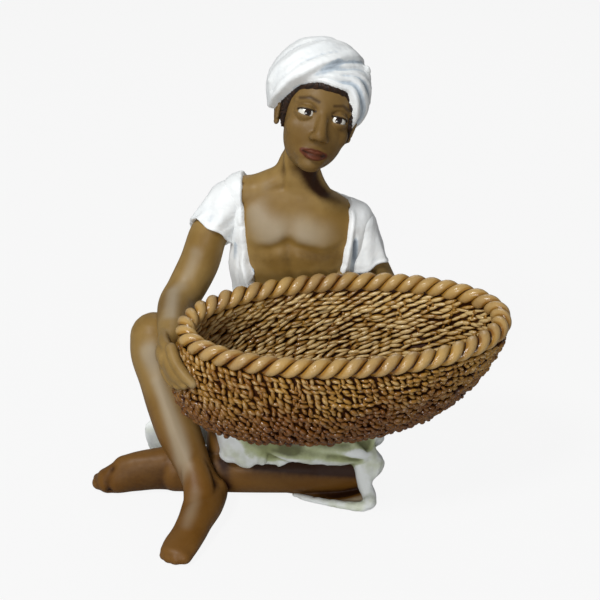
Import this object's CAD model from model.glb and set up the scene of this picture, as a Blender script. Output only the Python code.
# A seated figure in a turban, open shirt and wrapped skirt, who holds a large oval woven basket.
# The real one is cast and painted. Shapes are worked out in millimetres and put into the meshes in metres.
# The figure faces -Y and its right side is at -X.
import bpy
import numpy as np
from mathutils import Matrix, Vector


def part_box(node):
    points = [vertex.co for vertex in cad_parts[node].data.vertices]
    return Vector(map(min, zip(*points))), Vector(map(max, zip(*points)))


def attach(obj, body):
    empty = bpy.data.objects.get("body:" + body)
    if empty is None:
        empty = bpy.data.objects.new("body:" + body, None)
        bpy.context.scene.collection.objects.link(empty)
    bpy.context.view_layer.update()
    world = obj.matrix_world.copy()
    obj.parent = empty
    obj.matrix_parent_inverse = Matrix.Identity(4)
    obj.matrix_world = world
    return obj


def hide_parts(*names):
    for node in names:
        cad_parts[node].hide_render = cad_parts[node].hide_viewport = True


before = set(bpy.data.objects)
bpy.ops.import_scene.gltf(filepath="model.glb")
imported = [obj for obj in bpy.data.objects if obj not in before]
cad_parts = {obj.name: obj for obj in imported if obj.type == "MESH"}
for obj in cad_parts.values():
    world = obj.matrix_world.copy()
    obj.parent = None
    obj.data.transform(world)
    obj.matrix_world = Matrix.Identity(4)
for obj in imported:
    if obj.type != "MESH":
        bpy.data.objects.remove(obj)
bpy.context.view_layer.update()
mm = 0.001  # one millimetre in metres
fullTurn = 2 * np.pi


def report(stage):
    print("[figurine]", stage)


# Vectors and curves


def unit(v):  # vectors brought to length 1
    return v / np.maximum(np.linalg.norm(v, axis=-1, keepdims=True), 1e-12)


def bell(distance, radius):  # 1 at no distance, fading as exp(-(distance / radius)^2)
    return np.exp(-((distance / radius) ** 2))


def ease(x, low, high):  # 0 below low, 1 above high, and a smooth cubic step between
    t = np.clip((x - low) / (high - low), 0, 1)
    return t * t * (3 - 2 * t)


def around(count):  # angles evenly round a full turn
    return np.linspace(0, fullTurn, count, endpoint=False)


def ovalSize(turn, power):  # how far an oval of that power and half size 1 reaches at each turn
    return (np.abs(np.cos(turn)) ** power + np.abs(np.sin(turn)) ** power) ** (-1 / power)


def lengthAlong(path):  # the length of a row of points up to each of them
    return np.concatenate([[0], np.cumsum(np.linalg.norm(np.diff(path, axis=0), axis=1))])


def turning(axis, degrees):  # the 3 x 3 matrix of a turn about X, Y or Z
    c, s = np.cos(np.radians(degrees)), np.sin(np.radians(degrees))
    i, j = {"x": (1, 2), "y": (2, 0), "z": (0, 1)}[axis]
    m = np.eye(3)
    m[i, i], m[i, j], m[j, i], m[j, j] = c, -s, s, c
    return m


def throughPoints(points, count):
    # A curve through the points, sampled at count places: between two points it is the cubic whose slope at
    # each point is half the way from the point before to the point after
    p = np.asarray(points, float)
    place = np.linspace(0, len(p) - 1, count)
    i = np.minimum(place.astype(int), len(p) - 2)
    f = (place - i)[:, None]
    q = np.vstack([2 * p[0] - p[1], p, 2 * p[-1] - p[-2]])
    a, b, c, d = q[i], q[i + 1], q[i + 2], q[i + 3]
    return 0.5 * (2 * b + (c - a) * f + (2 * a - 5 * b + 4 * c - d) * f**2 + (3 * b - a - 3 * c + d) * f**3)


def ripple(points, wave, seed):
    # A soft random height, mostly from -1 to 1: the mean of eight sine waves in random directions, each about
    # wave mm long, times 1.6
    rng = np.random.default_rng(seed)
    k = unit(rng.normal(size=(8, 3))) * (fullTurn / wave) * rng.uniform(0.6, 1.5, (8, 1))
    return np.sin(points @ k.T + rng.uniform(0, fullTurn, 8)).mean(-1) * 1.6


# Surfaces. Each is a pair of points and faces, and every face is a row of four corners


def gridFaces(rows, columns, wrapRows=False, wrapColumns=True):
    i = np.arange(rows if wrapRows else rows - 1)[:, None]
    j = np.arange(columns if wrapColumns else columns - 1)[None, :]
    i2, j2 = (i + 1) % rows, (j + 1) % columns
    corners = [i * columns + j, i * columns + j2, i2 * columns + j2, i2 * columns + j]
    return np.stack(np.broadcast_arrays(*corners), -1).reshape(-1, 4)


def outward(points, faces):  # the faces turned over where their solid would have a volume below zero
    a, b, c, d = (points[faces[:, k]] for k in range(4))
    volume = np.einsum("ij,ij->", a, np.cross(b, c)) + np.einsum("ij,ij->", a, np.cross(c, d))
    return (points, faces if volume > 0 else faces[:, ::-1])


def closedForm(rings, looped=False):
    # Rings of points joined in order. A looped form joins its last ring to its first, and any other is shut
    # at both ends by bringing the end ring's points in pairs to its middle
    rows, columns = rings.shape[:2]
    points, faces = rings.reshape(-1, 3), gridFaces(rows, columns, wrapRows=looped)
    if not looped:
        points = np.vstack([points, rings[0].mean(0), rings[-1].mean(0)])
        j = np.arange(0, columns, 2)
        first, last = rows * columns, rows * columns + 1
        start = np.stack([np.full_like(j, first), (j + 2) % columns, j + 1, j], -1)
        end = np.stack([np.full_like(j, last), j, j + 1, (j + 2) % columns], -1)
        end[:, 1:] += (rows - 1) * columns
        faces = np.vstack([faces, start, end])
    return outward(points, faces)


def slab(outer, inner):
    # A sheet with a thickness: an outer and an inner grid of points, joined along all four edges
    rows, columns = outer.shape[:2]
    n = rows * columns
    f = gridFaces(rows, columns, wrapColumns=False)
    i, j = np.arange(rows - 1), np.arange(columns - 1)
    left = np.stack([i * columns, (i + 1) * columns, (i + 1) * columns + n, i * columns + n], -1)
    right = (left + columns - 1)[:, ::-1]
    low = np.stack([j, j + n, j + 1 + n, j + 1], -1)
    high = (low + (rows - 1) * columns)[:, ::-1]
    points = np.vstack([outer.reshape(-1, 3), inner.reshape(-1, 3)])
    return outward(points, np.vstack([f, f[:, ::-1] + n, left, right, low, high]))


def together(*forms):
    counts = np.cumsum([0] + [len(points) for points, _ in forms])
    return np.vstack([p for p, _ in forms]), np.vstack([f + n for (_, f), n in zip(forms, counts)])


def placed(form, turn, shift):  # a form turned by a 3 x 3 matrix and moved
    return form[0] @ np.asarray(turn).T + shift, form[1]


def limb(stations, side, rows=40, columns=32):
    # A profile carried along a path. Stations are rows of x, y, z, half width and half depth. At each place
    # the profile is an ellipse whose width lies along side, and the ends are rounded by a quarter circle
    s = throughPoints(stations, rows)
    centre, wide, deep = s[:, :3], s[:, 3, None, None], s[:, 4, None, None]
    along = unit(np.gradient(centre, axis=0))
    across = unit(np.asarray(side, float) - along * (along @ np.asarray(side, float))[:, None])
    front = np.cross(along, across)
    turn = around(columns)[None, :, None]
    spread = across[:, None] * wide * np.cos(turn) + front[:, None] * deep * np.sin(turn)
    steps = np.radians([75, 55, 35, 15])[:, None, None]
    reach = s[:, 3:].min(1)
    start, end = (centre[i] + along[i] * np.sin(steps) * reach[i] * sign + spread[i] * np.cos(steps)
                  for i, sign in ((0, -1), (-1, 1)))
    return closedForm(np.vstack([start, centre[:, None] + spread, end[::-1]]))


def ball(centre, radii, turn=np.eye(3), rows=16, columns=20):
    # A sphere's surface by polar angle and turn, stretched to three radii
    polar = np.linspace(0.12, np.pi - 0.12, rows)[:, None]
    sweep = around(columns)[None, :]
    x, y = np.sin(polar) * np.cos(sweep), np.sin(polar) * np.sin(sweep)
    rings = np.stack([x, y, np.cos(polar) + 0 * sweep], -1) * np.asarray(radii, float)
    return closedForm(rings @ np.asarray(turn).T + np.asarray(centre, float))


# Meshes


def meshOf(name, form):
    points, faces = form
    mesh = bpy.data.meshes.new(name)
    mesh.vertices.add(len(points))
    mesh.vertices.foreach_set("co", (points * mm).astype(np.float32).ravel())
    mesh.loops.add(faces.size)
    mesh.loops.foreach_set("vertex_index", faces.astype(np.int32).ravel())
    mesh.polygons.add(len(faces))
    mesh.polygons.foreach_set("loop_start", np.arange(0, faces.size, 4, dtype=np.int32))
    mesh.update(calc_edges=True)
    mesh.validate()
    return mesh


def pointsOf(mesh):
    points = np.empty(len(mesh.vertices) * 3, np.float32)
    mesh.vertices.foreach_get("co", points)
    return points.reshape(-1, 3).astype(float) / mm


def normalsOf(mesh):
    normals = np.empty(len(mesh.vertices) * 3, np.float32)
    mesh.vertex_normals.foreach_get("vector", normals)
    return normals.reshape(-1, 3).astype(float)


def facesOf(mesh):  # for a mesh whose faces all have four corners
    corners = np.empty(len(mesh.loops), np.int32)
    mesh.loops.foreach_get("vertex_index", corners)
    return corners.reshape(-1, 4)


def move(mesh, points):
    mesh.vertices.foreach_set("co", (points * mm).astype(np.float32).ravel())
    mesh.update()


def skinned(name, form, voxel, rounds):
    # One skin over all that a form holds, on cubes of voxel mm, then each point drawn rounds times towards
    # its neighbours, as clay is smoothed
    rough = bpy.data.objects.new(name + "Rough", meshOf(name + "Rough", form))
    bpy.context.scene.collection.objects.link(rough)
    remesh = rough.modifiers.new("skin", "REMESH")
    remesh.mode = "VOXEL"
    remesh.voxel_size = voxel * mm
    remesh.use_smooth_shade = True
    smooth = rough.modifiers.new("smooth", "SMOOTH")
    smooth.factor = 0.5
    smooth.iterations = rounds
    mesh = bpy.data.meshes.new_from_object(rough.evaluated_get(bpy.context.evaluated_depsgraph_get()))
    bpy.data.objects.remove(rough)
    mesh.name = name
    return mesh


def neighbourMean(mesh, values, rounds=1):  # each point's value becomes the mean of its neighbours' values
    edges = np.empty(len(mesh.edges) * 2, np.int32)
    mesh.edges.foreach_get("vertices", edges)
    a, b = edges.reshape(-1, 2).T
    count = np.bincount(a, minlength=len(values)) + np.bincount(b, minlength=len(values))
    for _ in range(rounds):
        columns = np.atleast_2d(values.T)
        total = [np.bincount(a, v[b], len(count)) + np.bincount(b, v[a], len(count)) for v in columns]
        values = (np.stack(total, -1) / np.maximum(count, 1)[:, None]).reshape(values.shape)
    return values


def away(points, path):  # least distance from each point to a path of straight stretches
    path = np.atleast_2d(np.asarray(path, float))
    least = np.full(len(points), np.inf)
    ends = path[1:] if len(path) > 1 else path
    for a, b in zip(path[: len(ends)], ends):
        ab = b - a
        t = np.clip((points - a) @ ab / max(ab @ ab, 1e-9), 0, 1)
        least = np.minimum(least, np.linalg.norm(points - a - t[:, None] * ab, axis=1))
    return least


def stroke(points, normals, path, radius, depth):
    # Pushes points along their normals by depth times a bell of their distance to a path
    path = np.atleast_2d(np.asarray(path, float))
    near = np.all((points > path.min(0) - 3 * radius) & (points < path.max(0) + 3 * radius), axis=1)
    points[near] += normals[near] * (depth * bell(away(points[near], path), radius))[:, None]


def sculpted(mesh, strokes, rounds=1):
    # Strokes are (path, radius, depth). Afterwards the points are drawn towards their neighbours' mean
    points, normals = pointsOf(mesh), normalsOf(mesh)
    for path, radius, depth in strokes:
        stroke(points, normals, path, radius, depth)
    for _ in range(rounds):
        points = 0.5 * points + 0.5 * neighbourMean(mesh, points)
    move(mesh, points)


def rippled(mesh, waves):  # waves are (height, length, seed), in mm along the normals
    points, normals = pointsOf(mesh), normalsOf(mesh)
    points += normals * sum(height * ripple(points, length, seed) for height, length, seed in waves)[:, None]
    return points


def setDown(points, level, rest):  # what lies under a level is flattened onto the ground
    z = points[:, 2]
    points[:, 2] = np.maximum(np.where(z < level, rest + 0.5 * np.maximum(z, 0), z), 0.05)
    return points


def keep(mesh, name, values):  # a number for each point, which a material reads by name
    mesh.attributes.new(name, "FLOAT", "POINT").data.foreach_set("value", values.astype(np.float32))


def shadeHollows(mesh, shade, stains=()):
    # How hollow the surface is at each point: how far its neighbours' mean lies out along the normal, times
    # a strength, from -1 on a ridge to 1 in a groove. Shade is how many steps it is spread over, and the
    # strength. Stains are (path, radius, amount) of dark wash in a corner, and an amount below zero rubs
    # the paint pale
    points, normals, (rounds, strength) = pointsOf(mesh), normalsOf(mesh), shade
    bend = np.einsum("ij,ij->i", neighbourMean(mesh, points, rounds) - points, normals)
    bend = neighbourMean(mesh, bend, max(1, rounds // 2)) * strength
    for path, radius, amount in stains:
        bend = bend + amount * bell(away(points, path), radius)
    keep(mesh, "hollow", np.clip(bend, -1, 1))


def piece(name, mesh, material, slot, *nodes):  # a finished piece on the figure's one body
    mesh.name = name
    mesh.materials.clear()
    mesh.materials.append(material)
    mesh.polygons.foreach_set("use_smooth", np.ones(len(mesh.polygons), bool))
    made = bpy.data.objects.new(name, mesh)
    bpy.context.scene.collection.objects.link(made)
    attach(made, "root")
    if nodes:
        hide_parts(*nodes)


# Materials


class Wire:  # an output socket whose arithmetic adds Math nodes
    def __init__(self, sheet, socket):
        self.sheet, self.socket = sheet, socket

    def math(self, operation, *values):
        return self.sheet.add("Math", {"operation": operation}, values)

    def __add__(self, other):
        return self.math("ADD", self, other)

    def __radd__(self, other):
        return self.math("ADD", self, other)

    def __sub__(self, other):
        return self.math("SUBTRACT", self, other)

    def __rsub__(self, other):
        return self.math("SUBTRACT", other, self)

    def __mul__(self, other):
        return self.math("MULTIPLY", self, other)

    def __rmul__(self, other):
        return self.math("MULTIPLY", self, other)

    def within(self, low, high):  # 0 at low and 1 at high, smooth between
        settings = {"interpolation_type": "SMOOTHSTEP"}
        return self.sheet.add("MapRange", settings, {"Value": self, "From Min": low, "From Max": high})


class Sheet:  # the nodes of one material, or of the world, round its first shader
    def __init__(self, owner, shader="Principled BSDF", constants=None):
        owner.use_nodes = True
        self.owner, self.tree = owner, owner.node_tree
        self.surface = self.tree.nodes[shader]
        self.feed(self.surface, constants or {})

    def feed(self, node, values):
        for key, value in values.items():
            if isinstance(value, Wire):
                self.tree.links.new(value.socket, node.inputs[key])
            else:
                node.inputs[key].default_value = value

    def add(self, kind, settings=None, values=(), output=0):
        node = self.tree.nodes.new("ShaderNode" + kind)
        for key, value in (settings or {}).items():
            setattr(node, key, value)
        self.feed(node, values if isinstance(values, dict) else dict(enumerate(values)))
        return Wire(self, node.outputs[output])

    def place(self):  # the piece's own coordinates, in metres
        return self.add("TexCoord", output="Object")

    def height(self):
        return self.add("SeparateXYZ", None, [self.place()], output="Z")

    def read(self, attribute):  # a number kept on the mesh's points
        return self.add("Attribute", {"attribute_name": attribute}, output="Fac")

    def noise(self, size, detail=3.0, rough=0.55):  # soft random values from 0 to 1, about size mm across
        values = {"Vector": self.place(), "Scale": 1 / (size * mm), "Detail": detail, "Roughness": rough}
        return self.add("TexNoise", None, values)

    def mix(self, share, first, second):  # one colour running into another
        return self.add("Mix", {"data_type": "RGBA"}, {0: share, 6: first, 7: second}, output=2)

    def bump(self, height, depth, before=None):  # depth in mm
        values = {"Height": height, "Distance": depth * mm, "Strength": 1.0}
        if before:
            values["Normal"] = before
        return self.add("Bump", None, values)

    def forCamera(self, share, plain):  # what the camera sees directly gives way by a share to a plain light
        own, seen = Wire(self, self.surface.outputs[0]), self.add("LightPath", output="Is Camera Ray")
        mixed = self.add("MixShader", None, {0: seen * share if share < 1 else seen, 1: own, 2: plain})
        end = next(node for node in self.tree.nodes if node.name.endswith("Output"))
        self.tree.links.new(mixed.socket, end.inputs[0])


def newSheet(name, constants):
    return Sheet(bpy.data.materials.new(name), constants=constants)


def colour(red, green, blue):  # a colour seen as 0 to 255, as the linear light that a shader works in
    c = np.array([red, green, blue]) / 255
    return (*np.where(c <= 0.04045, c / 12.92, ((c + 0.055) / 1.055) ** 2.4), 1.0)


# Paints shared by several pieces

skinLook = {
    "tone": colour(149, 121, 70),
    "warm": colour(127, 98, 47),  # in soft clouds
    "deep": colour(44, 19, 3),  # wash left in the hollows
    "worn": colour(164, 150, 126),  # rubbed ridges
    "low": colour(98, 56, 4),  # towards the ground
    "warmCloud": 22, "brush": 2.2, "pores": 0.9, "swells": 7,  # mm across
    "lowFrom": 85, "lowTo": 12,  # mm above the ground
    "lowShare": 0.75, "deepShare": 0.98, "wornShare": 0.75,
    "roughness": 0.46, "specular": 0.22,
}


def skinPaint(name, extra=None):
    # Brown paint, warmer in clouds, darker in the hollows, rubbed paler on the ridges and darker towards the
    # ground, with faint brush marks
    k = skinLook
    s = newSheet(name, {"Specular IOR Level": k["specular"]})
    hollow, cloud, brush = s.read("hollow"), s.noise(k["warmCloud"]), s.noise(k["brush"], 4)
    fromTop = (0 - s.height()).within(-k["lowFrom"] * mm, -k["lowTo"] * mm)
    tone = s.mix(cloud.within(0.35, 0.7), k["tone"], k["warm"])
    tone = s.mix(fromTop * k["lowShare"], tone, k["low"])
    tone = s.mix((hollow + (brush - 0.5) * 0.25).within(0.05, 0.8) * k["deepShare"], tone, k["deep"])
    tone = s.mix((0 - hollow).within(0.15, 1.0) * k["wornShare"], tone, k["worn"])
    rough = k["roughness"] + (brush - 0.5) * 0.2 + hollow.within(0.1, 0.8) * 0.12
    if extra:
        tone, rough = extra(s, tone, rough)
    relief = s.bump(s.noise(k["pores"], 3), 0.05, s.bump(s.noise(k["swells"], 2), 0.12))
    s.feed(s.surface, {"Base Color": tone, "Roughness": rough, "Normal": relief})
    return s.owner


whiteLook = {
    "tone": colour(243, 246, 246),
    "wash": colour(184, 198, 210),  # thin, in every fold
    "shade": colour(112, 122, 134),  # deep in the folds
    "clouds": 0.12,  # share of the wash that lies in soft clouds
}
clothLook = {
    "streak": 1.4, "cloud": 12, "swells": 5,  # mm across
    "share": 0.85, "roughness": 0.5, "specular": 0.4,
}


def clothPaint(name, look):
    # White paint with a thin coloured wash left in the folds, and the fine streaks of the brush
    k = clothLook
    s = newSheet(name, {"Specular IOR Level": k["specular"]})
    hollow, streak, cloud = s.read("hollow"), s.noise(k["streak"], 5, 0.65), s.noise(k["cloud"], 3)
    depth = hollow + (streak - 0.5) * 0.3
    paint = s.mix(depth.within(0.0, 0.4) * k["share"], look["tone"], look["wash"])
    paint = s.mix(depth.within(0.3, 0.9) * k["share"], paint, look["shade"])
    paint = s.mix(cloud.within(0.45, 0.7) * look["clouds"], paint, look["wash"])
    rough = k["roughness"] + (streak - 0.5) * 0.2
    relief = s.bump(streak, 0.07, s.bump(s.noise(k["swells"], 3), 0.12))
    s.feed(s.surface, {"Base Color": paint, "Roughness": rough, "Normal": relief})
    return s.owner


basketLook = {
    "straw": colour(162, 120, 50),
    "warm": colour(124, 80, 26),  # in soft clouds
    "pale": colour(214, 186, 130),  # rubbed crowns
    "low": colour(98, 54, 10),  # towards the basket's floor
    "deep": colour(50, 20, 4),  # wash left in the gaps
    "cloud": 15, "grain": 0.8, "lumps": 1.6,  # mm across
    "lowFrom": 92, "lowTo": 60,  # mm above the ground
    "roughness": 0.22, "specular": 0.45,
}


def basketPaint(name, crown=0.0, lowShare=0.0, specular=basketLook["specular"]):
    # Straw-gold paint over a dark brown wash: the wash stays in the gaps, the crowns are rubbed pale, and the
    # lower rows keep more of the wash
    k = basketLook
    s = newSheet(name, {"Specular IOR Level": specular})
    hollow, cloud, grain = s.read("hollow"), s.noise(k["cloud"], 3), s.noise(k["grain"], 4)
    tone = s.mix(cloud.within(0.35, 0.7), k["straw"], k["warm"])
    tone = s.mix((0 - hollow + (grain - 0.5) * 0.4).within(0.3, 1.0) * crown, tone, k["pale"])
    if lowShare:
        fromTop = (0 - s.height() + (cloud - 0.5) * 0.02).within(-k["lowFrom"] * mm, -k["lowTo"] * mm)
        tone = s.mix(fromTop * lowShare, tone, k["low"])
    tone = s.mix((hollow + (grain - 0.5) * 0.3).within(-0.1, 0.45) * 0.97, tone, k["deep"])
    rough = k["roughness"] + (grain - 0.5) * 0.25 + hollow.within(0.1, 0.8) * 0.25
    relief = s.bump(s.noise(k["lumps"], 2), 0.16, s.bump(grain, 0.08))
    s.feed(s.surface, {"Base Color": tone, "Roughness": rough, "Normal": relief})
    return s.owner


# Basket


basket = {
    "halfLength": 72, "halfWidth": 41, "depth": 43, "wall": 3.6,  # mm, as the solids have it
    "floorHalfLength": 40, "floorHalfWidth": 24, "floorShift": 14, "rimSeat": 4.7,
    "turn": 6, "tip": 3,  # degrees
    "rowPitch": 2.6, "firstRow": 0.4,  # mm down the wall
    "shellInset": 0.9, "shellRaised": 0.7, "lip": 3.2,  # mm, the dark shell behind the stitches
    "shellHollow": 0.8, "shellGloss": 0.12,
}
ropeBox = [np.array(corner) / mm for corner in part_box("basket_rim_rope")]
basketMiddle = (ropeBox[0] + ropeBox[1]) / 2
basketTurn = turning("x", basket["tip"]) @ turning("z", basket["turn"])
weaves = {  # sizes in mm; lean is degrees down towards the larger turn, at turns round the oval
    "outer": {
        "pitch": 3.1, "length": 5.0, "width": 2.1, "height": 1.7, "wash": 0.3,
        "leanAt": [0, 20, 180, 200, 235, 265, 285, 300, 330, 360],
        "lean": [-16, -20, 30, 40, 46, 42, 22, 10, -12, -16],  # the front's middle lies almost along the rows
        "thirdRow": -16, "otherRows": 4, "stray": 34,
        "inset": 0.0, "facing": 1, "lastFall": 1.4, "seed": 3, "crown": 0.5, "low": 0.85,
    },
    "inner": {
        "pitch": 5.0, "length": 8.4, "width": 2.3, "height": 1.5, "wash": 0.0,
        "leanAt": [0, 360], "lean": [22, 22], "thirdRow": 0, "otherRows": 0, "stray": 14,
        "inset": basket["wall"], "facing": -1, "lastFall": 2, "seed": 7, "crown": 1.0, "low": 0.0,
    },
}
uneven = {  # how far the stitches stray from regular
    "place": 0.14, "fall": 0.012,  # shares of a stitch and of the wall
    "size": (0.72, 1.2), "lift": (-0.5, 0.4), "proud": 0.6, "proudShare": 0.15,  # lifts in mm
    "shade": (-0.3, 0.4), "crownShade": 1.15,
}
knots = {
    "each": 30, "size": [3.4, 1.7, 1.3], "lean": (50, 130),  # in a row, mm, degrees
    "turn": 0.03, "fall": 0.01, "sizes": (0.7, 1.25),  # how far they stray
}


def bowlPoint(turn, fall, inset=0.0, raised=0.0):
    # A point of the bowl. Turn goes round the oval, and fall from 0 at the rim to 1 at the floor's edge and 2
    # at its middle. The wall drops as sin^0.9 of a quarter turn while its size shrinks as cos^0.75
    b = basket
    quarter = np.pi / 2 * np.clip(fall, 0, 1)
    drop, spread = np.sin(quarter) ** 0.9, np.maximum(np.cos(quarter), 0) ** 0.75
    size = np.clip(2 - fall, 0, 1)
    length = b["floorHalfLength"] + (b["halfLength"] - b["floorHalfLength"]) * spread
    width = b["floorHalfWidth"] + (b["halfWidth"] - b["floorHalfWidth"]) * spread
    x = (length - inset) * np.cos(turn) * size
    y = (width - inset) * np.sin(turn) * size
    z = (b["rimSeat"] + raised - b["depth"]) * drop - b["rimSeat"]
    return np.stack(np.broadcast_arrays(x - b["floorShift"] * drop, y, z), -1)


def bowlFrame(turn, fall, inset):  # place, direction round the oval, direction down the wall, and outward
    step = 1e-3
    at = bowlPoint(turn, fall, inset, inset)
    across = unit(bowlPoint(turn + step, fall, inset, inset) - at)
    down = bowlPoint(turn, fall + step, inset, inset) - bowlPoint(turn, fall - step, inset, inset)
    down = unit(down - across * np.einsum("ij,ij->i", down, across)[:, None])
    return at, across, down, unit(np.cross(down, across))


def wallRows():  # falls of the rows, spaced evenly along the wall and then over the floor to its middle
    falls = np.linspace(0.0, 1.94, 1200)
    length = lengthAlong(bowlPoint(np.full(1200, -1.3), falls))
    return np.interp(np.arange(basket["firstRow"], length[-1], basket["rowPitch"]), length, falls)


def leaves(w, turns, falls, lean, size, lift, rings):
    # Plump leaves laid on the wall at turns and falls: a leaf's half width follows sin^0.7 from tip to tip.
    # The second result is each point's height on its leaf, from -1 underneath to 1 on the crown
    along, turn = np.linspace(0.03, 0.97, rings), around(6)
    wide = np.sin(np.pi * along)[:, None] ** 0.7
    x = np.repeat((along - 0.5)[:, None], 6, 1)
    shape, faces = closedForm(np.stack([x, wide * np.cos(turn) / 2, wide * np.sin(turn)], -1))
    steps = (np.arange(len(turns)) * len(shape))[:, None, None]
    at, across, down, normal = bowlFrame(turns, falls, w["inset"])
    c, s = np.cos(np.radians(lean))[:, None], np.sin(np.radians(lean))[:, None]
    lengthwise, crosswise = across * c + down * s, down * c - across * s
    p = shape[None] * size[:, None]
    points = at[:, None] + lengthwise[:, None] * p[..., :1] + crosswise[:, None] * p[..., 1:2]
    points = points + w["facing"] * normal[:, None] * (p[..., 2:] + lift)
    return (points.reshape(-1, 3), (faces[None] + steps).reshape(-1, 4)), shape[:, 2]


def stitches(w, rows):
    # Rows one below the other round the bowl, each a ring of slanted stitches half a stitch out of step with
    # the row above. Every stitch lies on the wall, and no two are quite alike
    rng, odd = np.random.default_rng(w["seed"]), uneven
    turns, falls, leans = [], [], []
    lookup = np.linspace(0, fullTurn, 721)
    for n, fall in enumerate(rows):
        length = lengthAlong(bowlPoint(lookup, fall, w["inset"], w["inset"]))
        count = max(5, int(length[-1] / w["pitch"]))
        places = np.arange(count) + 0.5 * (n % 2) + rng.uniform(-odd["place"], odd["place"], count)
        places = places / count * length[-1]
        turn = np.interp(places % length[-1], length, lookup)
        turns.append(turn)
        falls.append(np.full(count, fall) + rng.uniform(-odd["fall"], odd["fall"], count) * (fall > 0.1))
        lean = np.interp(np.degrees(turn) % 360, w["leanAt"], w["lean"])
        lean = lean + (w["thirdRow"] if n % 3 == 2 else w["otherRows"])
        leans.append(lean + rng.uniform(-w["stray"], w["stray"], count))
    turns, falls, leans = map(np.concatenate, (turns, falls, leans))
    size = rng.uniform(*odd["size"], (len(turns), 3)) * [w["length"], w["width"], w["height"]]
    shares = [1 - odd["proudShare"], odd["proudShare"]]
    lift = rng.uniform(*odd["lift"], len(turns)) + rng.choice([0, odd["proud"]], len(turns), p=shares)
    form, height = leaves(w, turns, falls, leans, size, lift[:, None, None], 5)
    shade = rng.uniform(*odd["shade"], len(turns))[:, None]
    return form, np.clip(w["wash"] + shade - odd["crownShade"] * height, -1, 1).ravel()


def binding(w, rows):
    # Small knots between the rows, where the binding strand passes from one row to the next
    rng, count = np.random.default_rng(w["seed"] + 1), knots["each"] * len(rows)
    turns = around(count) * len(rows) % fullTurn + rng.uniform(-knots["turn"], knots["turn"], count)
    falls = np.repeat(rows, knots["each"]) + rng.uniform(-knots["fall"], knots["fall"], count)
    size = rng.uniform(*knots["sizes"], (count, 3)) * knots["size"]
    form, height = leaves(w, turns, falls, rng.uniform(*knots["lean"], count), size, 0, 4)
    return form, np.tile(np.clip(0.5 - height, -1, 1), count)


def makeBasket():
    b, turn = basket, around(160)[None, :]
    fall = np.concatenate([np.linspace(0.0, 1, 31), np.linspace(1.1, 1.96, 8)])[:, None]
    outside = bowlPoint(turn, fall, b["shellInset"], b["shellRaised"])
    inside = bowlPoint(turn, fall, b["wall"] - 0.7, b["wall"] - 0.5)
    lip = [outside[:1] + [0, 0, b["lip"]], inside[:1] + [0, 0, b["lip"]]]
    shell = closedForm(np.concatenate([outside[::-1], *lip, inside]))
    mesh = meshOf("basket_shell", placed(shell, basketTurn, basketMiddle))
    keep(mesh, "hollow", np.full(len(mesh.vertices), b["shellHollow"]))
    paint = basketPaint("shellPaint", specular=b["shellGloss"])
    piece("basket_shell", mesh, paint, "basket_paint", "basket_bowl")
    for side, w in weaves.items():
        rows = wallRows()
        rows = rows[rows < w["lastFall"]]
        laid, hollow = stitches(w, rows)
        tied, knotHollow = binding(w, rows[:-1] + np.diff(rows) / 2)
        name = "basket_" + side + "_weave"
        mesh = meshOf(name, placed(together(laid, tied), basketTurn, basketMiddle))
        keep(mesh, "hollow", np.concatenate([hollow, knotHollow]))
        piece(name, mesh, basketPaint(side + "WeavePaint", w["crown"], w["low"]), "basket_paint")
    report("basket")


rope = {
    "radius": 4.5, "strandRadius": 2.55, "strands": 2, "twists": 23,  # mm, and turns all round
    "steps": 900, "sides": 14, "crown": 0.45, "darkBelow": 2.3,
    "wobble": 0.12, "wobbles": 7, "swell": 0.05, "swells": 23,  # how uneven the twist and the strand are
}


def makeRope():
    # Two strands twisted round the rim's oval, each a round tube whose middle turns steadily about the oval
    r, b = rope, basket
    halfLength, halfWidth = b["halfLength"] - b["wall"] / 2, b["halfWidth"] - b["wall"] / 2
    lookup = np.linspace(0, fullTurn, 2881)
    length = lengthAlong(np.stack([halfLength * np.cos(lookup), halfWidth * np.sin(lookup)], -1))
    u = np.arange(r["steps"]) / r["steps"]
    t = np.interp(u * length[-1], length, lookup)
    centre = np.stack([halfLength * np.cos(t), halfWidth * np.sin(t), 0 * t], -1)
    out = unit(np.stack([halfWidth * np.cos(t), halfLength * np.sin(t), 0 * t], -1))
    up = np.array([0.0, 0.0, 1.0])
    ring = around(r["sides"])[None, :, None]
    strands = []
    for n in range(r["strands"]):
        phase = fullTurn * (r["twists"] * u + n / r["strands"])
        phase = phase + r["wobble"] * np.sin(fullTurn * u * r["wobbles"])
        arm = out * np.cos(phase)[:, None] + up * np.sin(phase)[:, None]
        middle = centre + (r["radius"] - r["strandRadius"]) * arm
        side = np.cross(unit(np.roll(middle, -1, 0) - np.roll(middle, 1, 0)), arm)
        radius = r["strandRadius"] * (1 + r["swell"] * np.sin(fullTurn * u * r["swells"] + 2 * n))
        spread = arm[:, None] * np.cos(ring) + side[:, None] * np.sin(ring)
        strands.append(closedForm(middle[:, None] + radius[:, None, None] * spread, looped=True))
    form = together(*strands)
    reach = np.linalg.norm(form[0] - np.repeat(np.tile(centre, (r["strands"], 1)), r["sides"], 0), axis=1)
    mesh = meshOf("basket_rim_rope_strands", placed(form, basketTurn, basketMiddle))
    keep(mesh, "hollow", np.clip(1.0 - 1.9 * ease(reach, r["darkBelow"], r["radius"]), -1, 1))
    paint = basketPaint("ropePaint", r["crown"])
    piece("basket_rim_rope_strands", mesh, paint, "basket_paint", "basket_rim_rope")
    report("rope")


# Trunk


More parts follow.
